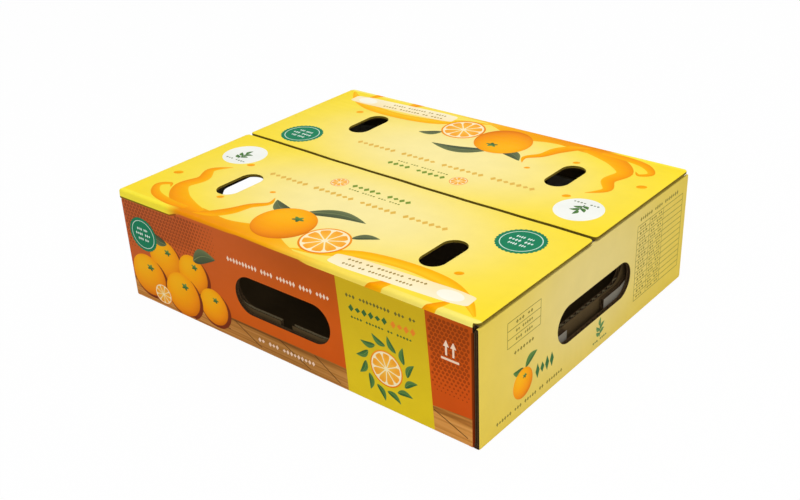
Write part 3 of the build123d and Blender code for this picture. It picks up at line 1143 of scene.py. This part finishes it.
def plank_colour(x, v):
    """Wood: streaks along the planks as sums of sines, and a darker far edge."""
    streak = 0.16 * np.sin(2.3 * v + 0.9 * np.sin(x / 19)) + 0.12 * np.sin(0.9 * v + x / 31 + 1.0)
    edge = 0.45 * np.clip((v - 15) / 4, 0, 1)
    wood = between_inks(0.62 + streak - edge + 0.1 * x / 190, "#82501E", "#BA7834", "#DA9648", "#E6A85C")
    return wood * (1 - 0.3 * swell(x, -110, 110))[..., None]


# Motifs of a long wall. Oranges are x, v and radius, leaves are place, length, width and angle, and rows of
# lozenges are place, length, height, groups, colour and layer.
PLANK_GAPS = ((-172, 17, -150, 0.5), (-128, 18.5, -100, 0.5), (-58, 19, -22, 0.5), (-6, 19.5, 34, 0.5),
              (33, 19.5, 64, 0.5), (150, 19, 180, 6.5), (-100, 14, -64, 8))
PILE = ((-138, 50, 19), (-104, 47, 18), (-163, 27, 20), (-82, 23, 17), (-121, 22, 21))
PILE_LEAVES = (((-101, 61), 30, 13, 18), ((-134, 66), 22, 9, 158))
WALL_MARKS = (
    ((-58, 77), 112, 5.2, (10, 4, 6, 4, 4), PALE_MARKS, 1),
    ((-31, 10.5), 64, 4.4, (2, 3, 9), PALE_MARKS, 2),
)
PANEL_LEFT = OLIVE[0] - 5
PANEL_MARKS = (
    ((PANEL_LEFT + 8, 87), 66, 3.8, (3, 9, 3, 2), DARK_MARKS, 2),
    ((PANEL_LEFT + 10, 77), 38, 6.4, (6,), "#3E6B35", 2),
    ((PANEL_LEFT + 50, 77), 24, 6.4, (4,), "#EE8A2A", 2),
    ((PANEL_LEFT + 12, 69.5), 58, 2.6, (4, 6, 2, 5), "#4E6B2C", 2),
)
EMBLEM = (sum(OLIVE) / 2 - 36 * SLANT, 36)
WREATH_LEAVES = 12
ARROWS = (162.5, 168.7)
ARROW_BAR = (158, 66.5, 173.5, 66.5)


def print_wall(face):
    """Long wall: planks with oranges on them, a honeycomb, a panel with an emblem, and two arrows."""
    foot = np.linspace(-1, FOLD_TOP, 13)
    corner = merged(between(WALL_HALF, PRINT_END - 1.2, 1.0), between(PRINT_END - 1.2, PRINT_END, 0.3))
    floor = (between(-WALL_HALF, OLIVE[0] + 1, 6.0), between(OLIVE[1] - 3, WALL_HALF, 6.0))
    for columns, low in ((floor[0], -1), (floor[1], -1), (-corner, 1), (corner, 1)):
        x, v = np.meshgrid(columns, merged(foot[foot >= low], between(FOLD_TOP, PLANK_TOP, 1.25)))
        v = v + np.where(v > FOLD_TOP, 1, 0) * 4.5 * np.clip((x - 120) / 60, 0, 1) * (v - FOLD_TOP) / 15
        face.grid(x, v, plank_colour(x, v), 0)
    face.lines(PLANK_GAPS, 0.8, "#5F3A18", 1)

    def strength(x, v):
        left = np.clip((v - 42 - 0.1 * (x + 180)) / 24, 0, 1) * np.clip((-58 - x) / 44, 0, 1)
        right = np.clip((v - 24) / 34, 0, 1) * (x > OLIVE[1] - SLANT * v + CELL / 2)
        below = v < np.minimum(lid_print_low(x), WALL_TOP) - CELL / 2
        return 0.92 * np.maximum(left, right) * below

    face.honeycomb((-181, 36), (-52, 102), strength, 0)
    face.honeycomb((OLIVE[1] - 6, 28), (186, 102), strength, 0)

    # Oranges, from the far ones to the near ones
    for number, (x, v, radius) in enumerate(PILE):
        face.disc((x + 2, v - 2), (2 * radius + 3, 2 * radius + 1), ("#7E3414",), 1 + 2 * number)
        face.orange((x, v), radius, 2 + 2 * number)
    for leaf in PILE_LEAVES:
        face.leaf(*leaf, 12, GREY_LEAF)
    face.wheel((-148, 13), 10, 13, 12)

    face.seal((-162, 67), 15.8, 14)
    for row in WALL_MARKS:
        face.marks(*row)

    # Panel with its emblem: an orange wheel in a wreath
    rows = merged(foot, between(FOLD_TOP, WALL_TOP - 0.03, 6.0))
    x, v = np.meshgrid(between(*OLIVE, 8.0), rows)
    x = x - SLANT * v
    face.grid(x, v, between_inks(v / 95, "#EDD022", "#DFC020", "#D2B01C"), 1)
    for row in PANEL_MARKS:
        face.marks(*row)
    for number in range(WREATH_LEAVES):
        angle = 360 / WREATH_LEAVES * number
        face.leaf(turned(19.5, 0, angle, EMBLEM), 14.5, 5.2, angle + 62, 2 + number % 2)
    face.wheel(EMBLEM, 15.5, 4, 8)

    # Two arrows over a bar
    for x in ARROWS:
        face.lines(((x, 69.5, x, 77),), 1.7, PALE_MARKS, 2)
        head = np.array(((x - 2.5, 76.6), (x + 2.5, 76.6), (x + 0.2, 81.4), (x - 0.2, 81.4)))
        face.cells(head[None, :, 0], head[None, :, 1], QUAD, PALE_MARKS, 3)
    face.lines((ARROW_BAR,), 1.8, PALE_MARKS, 2)


FEET = ((100.0, 15.0), (150.0, 11.0))
FOOT_TOP = HEIGHT + 14
FOOT_LENGTH = 18.0
SEAM_SHIFT = 7.0  # the rear flap's seal, round and marks lie this much nearer the seam


def print_foot(face, at, width, rows):
    """Foot of a wave that runs over the fold: its half width shrinks as a root to nothing at its top."""
    share = np.clip((FOOT_TOP - rows) / FOOT_LENGTH, 0, 1)
    v, t = np.meshgrid(rows, np.linspace(-1, 1, 9), indexing="ij")
    x = at + 0.5 * (v - HEIGHT) + t * (width / 2 * np.sqrt(share)[:, None] + 0.05)
    face.grid(x, v, between_inks((t + 1) / 2, *ORANGE_WAVE), 3)


def print_wall_top(face):
    """The lid's print on the left of a wall above its border, with a dark line along that: a painted shadow
    under the fold.
    """
    x = merged(between(-STRIP_END, -125, 5.0), between(-124, -115, 1.0))
    low = lid_print_low(x)
    v = low + np.linspace(0, 1, 3)[:, None] * (WALL_TOP - low)
    face.grid(x + 0 * v, v, fold_band(x + 0 * v), 2)
    # Painted shadow: a dark line along the border, where the fold's rounding turns away from the light
    v = low + np.array((-1.3, -0.6, 0.1))[:, None]
    dark = between_inks(np.interp(x, (-150, -116), (0, 1)) + 0 * v, "#806A10", "#A0520E")
    face.grid(x + 0 * v, v, dark, 3)


# Motifs of a flap. Ribbons are x, v and width along them, with their colours and layer, drops are x, v and
# size, and leaves are place, length, width, angle and layer. The marks all lie on layer 1.
RIBBONS = (
    (((-96, 115, 8), (-115, 118, 14), (-134, 125, 17), (-149, 141, 14), (-145, 161, 12), (-153, 178, 8),
      (-141, 193, 0.3)), ORANGE_WAVE, 2),
    (((-112, 113, 6), (-134, 113, 8), (-156, 118, 8), (-168, 130, 6), (-161, 138, 4), (-155, 133, 0.3)),
     ORANGE_WAVE, 3),
    (((-100, 110, 0.3), (-86, 118, 10), (-76, 130, 12), (-70, 146, 8), (-60, 158, 5), (-64, 169, 0.3)),
     ORANGE_WAVE, 4),
    (((8, 110, 0.3), (34, 119, 8), (62, 134, 11), (102, 140, 11), (138, 137, 12), (164, 126, 9),
      (182, 111, 2)), GOLD_WAVE, 2),
)
DROPS = ((-174, 158, 6), (-132, 206, 5), (-104, 144, 4.4), (138, 153, 5), (-74, 176, 3.6))
LID_LEAVES = (((-32, 156), 30, 12, 158, 5), ((-24, 162), 56, 13, 14, 5), ((38, 150), 22, 8, 30, 12))
LABEL_ROWS = ((4, 72), (-3, 64))
LID_SEAL = (146.5, 219.5)
LID_ROUND = (-153.5, 219)
LID_MARKS = (
    ((-105, 203.5), 195, 6.8, (7, 7, 6, 7), TAN_MARKS),
    ((-28, 225), 64, 6.6, (5, 4), "#7E9638"),
    ((-26, 218), 56, 2.4, (4, 5, 3, 4), "#8A8A3C"),
)


def print_lid(face, shift):
    """Flap: a swell on the fold, oranges and wheels with leaves, a label, and a seal, a white round and marks
    that lie nearer the seam by shift."""
    fold = np.linspace(WALL_TOP, HEIGHT + HALF + LID_FOLD, FOLD_ROWS)
    for at, width in FEET:
        print_foot(face, at, width, merged(fold, between(fold[-1], FOOT_TOP, 1.2)))
    # A swell along the fold, its top a sum of sines, and ribbons that leave it
    x = between(-126, 16, 4.0)
    t = (x - x[0]) / (x[-1] - x[0])
    low = fold[-1]
    top = low + 0.3 + 20 * np.sin(math.pi * t) ** 0.7 * (0.72 + 0.28 * np.sin(3.2 * math.pi * t + 0.6))
    v = low + np.linspace(0, 1, 7)[:, None] * (top - low)
    x = x + 0 * v
    rise = ((v - low) / 20)[..., None]
    face.grid(x, v, fold_band(x) * (1 - rise) + between_inks(0 * x, ORANGE_WAVE[3]) * rise, 1)
    for ribbon in RIBBONS:
        face.ribbon(*ribbon)
    for x, v, size in DROPS:
        face.disc((x, v), (1.5 * size, size), ORANGE_WAVE, 2, angle=30, n=13)

    for leaf in LID_LEAVES:
        face.leaf(*leaf, GREY_LEAF)
    face.orange((-24, 139), 27, 7)
    face.wheel((24, 135), 21, 9, 10)

    face.box(LABEL, (124, 18), CREAM, 4, LABEL_TURN)
    face.disc(turned(44, 0, LABEL_TURN, LABEL), (22, 13), ("#FFFAE8", "#FFF8E0"), 5, n=21)
    for v, length in LABEL_ROWS:
        start = turned(-50, v, LABEL_TURN, LABEL)
        face.marks(start, length, 3.2, (4, 2, 7, 5), "#A58A46", 5, LABEL_TURN)

    face.seal((LID_SEAL[0], LID_SEAL[1] + shift), 20, 1)
    x, v = LID_ROUND[0], LID_ROUND[1] + shift / 2
    face.disc((x, v), 41, ("#F3F4EA", "#F8F8F0"), 4, n=25)
    face.sprig((x, v - 7), 15, 5)
    face.marks((x - 12, v - 12), 24, 2.6, (3, 4), "#6E7B5A", 5)
    for (x, v), *row in LID_MARKS:
        face.marks((x, v + shift), *row, 1)
    face.wheel((-41, 223.5 + shift), 8, 1, 20)


def print_table(face, corners, columns, rows, code, layer):
    """Ruled table: columns are shares of its width where lines stand."""
    x0, v0, x1, v1 = corners
    across = x0 + np.array(columns) * (x1 - x0)
    up = np.linspace(v0, v1, rows + 1)
    ends = [(x, v0, x, v1) for x in across] + [(x0, v, x1, v) for v in up]
    face.lines(ends, 0.55, code, layer)


# Motifs of an end, given as those of a long wall
END_INK = "#8F8238"
END_LEAVES = (((-95, 39), 17, 7, 24), ((-97, 39), 14, 6, 168))
END_MARKS = (
    ((-108, 69.5), 22, 3.2, (3, 4), END_INK, 0),
    ((-108, 76.5), 22, 3.2, (2, 5), END_INK, 0),
    ((-108, 83.5), 22, 3.2, (3, 2), END_INK, 0),
    ((-110, 58.5), 26, 3.4, (7,), END_INK, 0),
    ((-82, 27), 26, 13, (4,), "#3F7140", 1),
    ((-132, 9.5), 88, 3.6, (6, 3, 5, 2, 7), END_INK, 0),
    ((1, 7.5), 22, 2.6, (3, 4), "#6F8048", 0),
    ((TABLE[0] + 3, 90), 66, 4.2, (6, 4, 7), END_INK, 0),
)
TABLE_ROWS = 13
TABLE_COLUMNS = (0, 0.26, 0.56, 1)
TABLE_WORDS = ((3, 2), (2, 2), (2, 3))


def print_end(face):
    """End wall: two ruled tables, a small orange, a twig, and marks."""
    print_table(face, SMALL_TABLE, (0, 1), 3, END_INK, 0)
    print_table(face, TABLE, TABLE_COLUMNS, TABLE_ROWS, END_INK, 0)
    for row in END_MARKS:
        face.marks(*row)
    for leaf in END_LEAVES:
        face.leaf(*leaf, 1)
    face.orange((-98, 27), 12.5, 3)
    face.sprig((12, 12), 14, 0, ("#3F6F45", "#5E8A52", "#8CA860"))
    step = (TABLE[3] - TABLE[1]) / TABLE_ROWS
    for row in range(TABLE_ROWS):
        v = TABLE[1] + (row + 0.5) * step
        face.marks((TABLE[0] + 22.5, v), 19, 2.6, TABLE_WORDS[row % 3], END_INK, 0)
        face.marks((TABLE[0] + 3, v), 11 + 3 * (row % 2), 2.6, (3,), END_INK, 0)


# Camera: the photograph's view, fitted to the carton's corners
LENS = 48.14
SENSOR = 36.0
CLIP_START = 0.01
CAMERA_AT = Vector((0.5405, -0.6352, 0.4750))
AZIMUTH = math.radians(40.675)
ELEVATION = math.radians(27.769)
ROLL = math.radians(-2.729)


def add_camera():
    """Camera at its fitted place, looking along the azimuth and elevation, turned by the roll."""
    back = Vector((
        math.sin(AZIMUTH) * math.cos(ELEVATION),
        -math.cos(AZIMUTH) * math.cos(ELEVATION),
        math.sin(ELEVATION),
    ))
    level = Vector((math.cos(AZIMUTH), math.sin(AZIMUTH), 0))
    over = back.cross(level)
    right = math.cos(ROLL) * level + math.sin(ROLL) * over
    up = math.cos(ROLL) * over - math.sin(ROLL) * level
    data = bpy.data.cameras.new("camera")
    data.lens = LENS
    data.sensor_width = SENSOR
    data.clip_start = CLIP_START
    camera = new_object("camera", data)
    axes = Matrix((right, up, back)).transposed().to_4x4()
    camera.matrix_world = Matrix.Translation(CAMERA_AT) @ axes
    bpy.context.scene.camera = camera


def add_node(tree, kind, inputs=None, **settings):
    """Adds a node with its settings. inputs gives a socket's value, or the socket that feeds it."""
    made = tree.nodes.new(kind)
    for name, value in settings.items():
        setattr(made, name, value)
    for name, value in (inputs or {}).items():
        if isinstance(value, bpy.types.NodeSocket):
            tree.links.new(value, made.inputs[name])
        else:
            made.inputs[name].default_value = value
    return made


def new_material(name):
    """A material with only an output and a shader."""
    material = bpy.data.materials.new(name)
    material.use_nodes = True
    tree = material.node_tree
    tree.nodes.clear()
    shader = add_node(tree, "ShaderNodeBsdfPrincipled")
    add_node(tree, "ShaderNodeOutputMaterial", {"Surface": shader.outputs["BSDF"]})
    return material, tree, shader


def calculated(tree, operation, *values):
    """Result of a calculation with one or two values."""
    return add_node(tree, "ShaderNodeMath", dict(enumerate(values)), operation=operation).outputs[0]


# Real sizes of the patterns, in millimetres
FIBRE = 0.9  # paper fibres, drawn coarser than the real 0.1 so that they show
CLOUD = 22.0  # uneven ink
WASHBOARD_DEPTH = 0.035  # the flutes that show through the printed paper
INK_DEPTH = 0.012  # relief of the fibres under the varnish, on plain paper and on a cut edge
PAPER_DEPTH = 0.03
EDGE_DEPTH = 0.05

# Share of the clouds, roughness and gloss
VARNISHED = (0.02, 0.5, 0.03)
MATT = (0.05, 0.9, 0.2)


def noise_level(tree, flat, size, reach, low, high, **more):
    """Noise with blotches of a size, spread from low to high over its middle values up to reach off 0.5."""
    noise = add_node(tree, "ShaderNodeTexNoise", {"Vector": flat, "Scale": 1 / size, **more})
    return add_node(tree, "ShaderNodeMapRange", {
        "Value": noise.outputs["Fac"], "From Min": 0.5 - reach, "From Max": 0.5 + reach,
        "To Min": low, "To Max": high}).outputs["Result"]


def board_coordinates(tree):
    """The flat board's coordinates in millimetres: x along the flutes, y across them."""
    flat = add_node(tree, "ShaderNodeUVMap", uv_map="board").outputs["UV"]
    return add_node(tree, "ShaderNodeVectorMath", {
        0: flat, 1: (1 / MM,) * 3}, operation="MULTIPLY").outputs["Vector"]


def paper_surface(tree, shader, flat, colour, finish, fibre_depth):
    """Paper's colour, lighter and darker by a share in soft clouds, its gloss, and its flutes and fibres as a
    bump: a sine across the flutes and fine noise."""
    clouds, roughness, gloss = finish
    level = noise_level(tree, flat, CLOUD, 0.2, 1 - clouds, 1 + clouds, Detail=2.0)
    clouded = add_node(tree, "ShaderNodeVectorMath", {0: colour, "Scale": level}, operation="SCALE")
    tree.links.new(clouded.outputs["Vector"], shader.inputs["Base Color"])
    shader.inputs["Roughness"].default_value = roughness
    shader.inputs["Specular IOR Level"].default_value = gloss
    across = add_node(tree, "ShaderNodeSeparateXYZ", {0: flat}).outputs["Y"]
    wave = calculated(tree, "SINE", calculated(tree, "MULTIPLY", across, 2 * math.pi / PITCH))
    flutes = add_node(tree, "ShaderNodeBump", {
        "Height": wave, "Distance": WASHBOARD_DEPTH * MM, "Strength": 1.0})
    fibres = add_node(tree, "ShaderNodeTexNoise", {"Vector": flat, "Scale": 1 / FIBRE, "Detail": 3.0})
    both = add_node(tree, "ShaderNodeBump", {
        "Height": fibres.outputs["Fac"], "Distance": fibre_depth * MM, "Strength": 1.0,
        "Normal": flutes.outputs["Normal"]})
    tree.links.new(both.outputs["Normal"], shader.inputs["Normal"])


def flexo_print():
    """Water-based inks on white-faced paper under a thin varnish: even, half matt, a little cloudy. The ink
    attribute holds their colours."""
    material, tree, shader = new_material("flexo_ink_on_white_liner")
    ink = add_node(tree, "ShaderNodeAttribute", attribute_name="ink").outputs["Color"]
    paper_surface(tree, shader, board_coordinates(tree), ink, VARNISHED, INK_DEPTH)
    return material


def paper(name, light, dark, fibre_depth=PAPER_DEPTH):
    """Unprinted paper: matt, with fibres that go from the dark to the light colour."""
    material, tree, shader = new_material(name)
    flat = board_coordinates(tree)
    level = noise_level(tree, flat, FIBRE, 0.15, 0.0, 1.0, Detail=4.0, Roughness=0.7)
    mixed = add_node(tree, "ShaderNodeMix", {
        "Factor": level, 6: linear(dark), 7: linear(light)}, data_type="RGBA")
    paper_surface(tree, shader, flat, mixed.outputs[2], MATT, fibre_depth)
    return material


PLAIN_WHITE = (1, 1, 1, 1)
FLOOR_HALF = 6.0
FLOOR_WHITE = 0.97  # the share of plain white in what is seen of the floor, the rest being lit


def add_floor(material):
    """Plain floor under the carton, far larger than it."""
    corners = [(x * FLOOR_HALF, y * FLOOR_HALF, 0) for x, y in ((-1, -1), (1, -1), (1, 1), (-1, 1))]
    mesh = bpy.data.meshes.new("floor")
    mesh.from_pydata(corners, [], QUAD)
    mesh.materials.append(material)
    floor = new_object("floor", mesh)


def seen_directly(tree):
    """1 for the camera, for gloss and through clear things, and 0 for light on its way."""
    path = add_node(tree, "ShaderNodeLightPath").outputs
    seen = path["Is Camera Ray"]
    for ray in ("Is Glossy Ray", "Is Transmission Ray"):
        seen = calculated(tree, "MAXIMUM", seen, path[ray])
    return seen


def floor_material():
    """White where it is seen directly, and a plain pale floor to everything else, with the carton's shadow
    kept by mixing in the lit floor where it is darker."""
    material, tree, shader = new_material("pale_floor")
    shader.inputs["Base Color"].default_value = linear("#F4F4F2")
    shader.inputs["Roughness"].default_value = 0.8
    part = calculated(tree, "MULTIPLY", seen_directly(tree), FLOOR_WHITE)
    white = add_node(tree, "ShaderNodeEmission", {"Color": PLAIN_WHITE, "Strength": 1.0})
    mixed = add_node(tree, "ShaderNodeMixShader", {
        0: part, 1: shader.outputs["BSDF"], 2: white.outputs["Emission"]})
    output = next(n for n in tree.nodes if n.type == "OUTPUT_MATERIAL")
    tree.links.new(mixed.outputs["Shader"], output.inputs["Surface"])
    return material


ROOM_LIGHT = 0.55


def add_world():
    """Soft room light, and white where it is seen directly."""
    world = bpy.data.worlds.new("room")
    bpy.context.scene.world = world
    world.use_nodes = True
    tree = world.node_tree
    tree.nodes.clear()
    room = add_node(tree, "ShaderNodeBackground", {"Color": linear("#F2F4F8"), "Strength": ROOM_LIGHT})
    white = add_node(tree, "ShaderNodeBackground", {"Color": PLAIN_WHITE, "Strength": 1.0})
    mixed = add_node(tree, "ShaderNodeMixShader", {
        0: seen_directly(tree), 1: room.outputs["Background"], 2: white.outputs["Background"]})
    add_node(tree, "ShaderNodeOutputWorld", {"Surface": mixed.outputs["Shader"]})


LAMP_AIM = Vector((0, 0, 0.05))


def add_lamp(name, place, size, power):
    """Soft square lamp that shines from its place towards the carton."""
    data = bpy.data.lights.new(name, "AREA")
    data.size = size
    data.energy = power
    lamp = new_object(name, data)
    lamp.location = place
    lamp.rotation_mode = "QUATERNION"
    lamp.rotation_quaternion = (LAMP_AIM - Vector(place)).to_track_quat("-Z", "Y")


bpy.context.scene.view_settings.view_transform = "Standard"
add_camera()
add_world()
add_lamp("top_lamp", (0.1, 0.2, 1.7), 1.6, 14.0)
add_lamp("front_lamp", (1.45, -1.15, 1.0), 1.2, 11.0)
add_floor(floor_material())

inks = flexo_print()
papers = [
    inks,
    # Painted shade: the unprinted papers are coloured darker than real white-faced and brown kraft, as the
    # carton's inside looks in shade
    paper("white_faced_kraft_paper_darkened_for_shade", "#837D70", "#767063"),
    paper("brown_kraft_paper_darkened_for_shade", "#5A4829", "#4B3A20"),
    # Partly painted shade: the cut edge and the fluted core are darker than raw kraft
    paper("cut_kraft_paper", "#5C462B", "#473520", EDGE_DEPTH),
    paper("fluted_core_paper", "#4A3824", "#3A2B1A", EDGE_DEPTH),
    # The frayed core's pale colour is partly a painted highlight, used on edges that face up into the light
    paper("frayed_core_paper", "#8F8262", "#776A4C", EDGE_DEPTH),
]
lid_papers = papers[:3] + [
    paper("cut_kraft_paper_by_the_print", "#A08726", "#8B731E", EDGE_DEPTH),
    paper("fluted_core_paper_by_the_print", "#8F7720", "#7C661A", EDGE_DEPTH),
]

tray = build_tray(papers)
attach(tray, "tray")
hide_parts("tray")

for turn, wall_name, end_name in ((1, "front_wall", "right_end"), (-1, "rear_wall", "left_end")):
    wall = Face(wall_print_place(turn))
    print_wall(wall)
    print_wall_top(wall)
    end = Face(end_place(turn))
    print_end(end)
    for name, face in ((wall_name, wall), (end_name, end)):
        film = make_film(name + "_print", face, inks)
        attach(film, "tray")

# The crease of a flap bends from the wall's end to the lid's start
for name, turn in (("front_flap", 1), ("rear_flap", -1)):
    flap = build_flap(name + "_board", turn, lid_papers)
    lid = Face(lid_place(turn))
    print_lid(lid, 0.0 if turn == 1 else SEAM_SHIFT)
    film = make_film(name + "_print", lid, inks)
    for piece in (flap, film):
        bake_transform(piece)
    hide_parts(name)
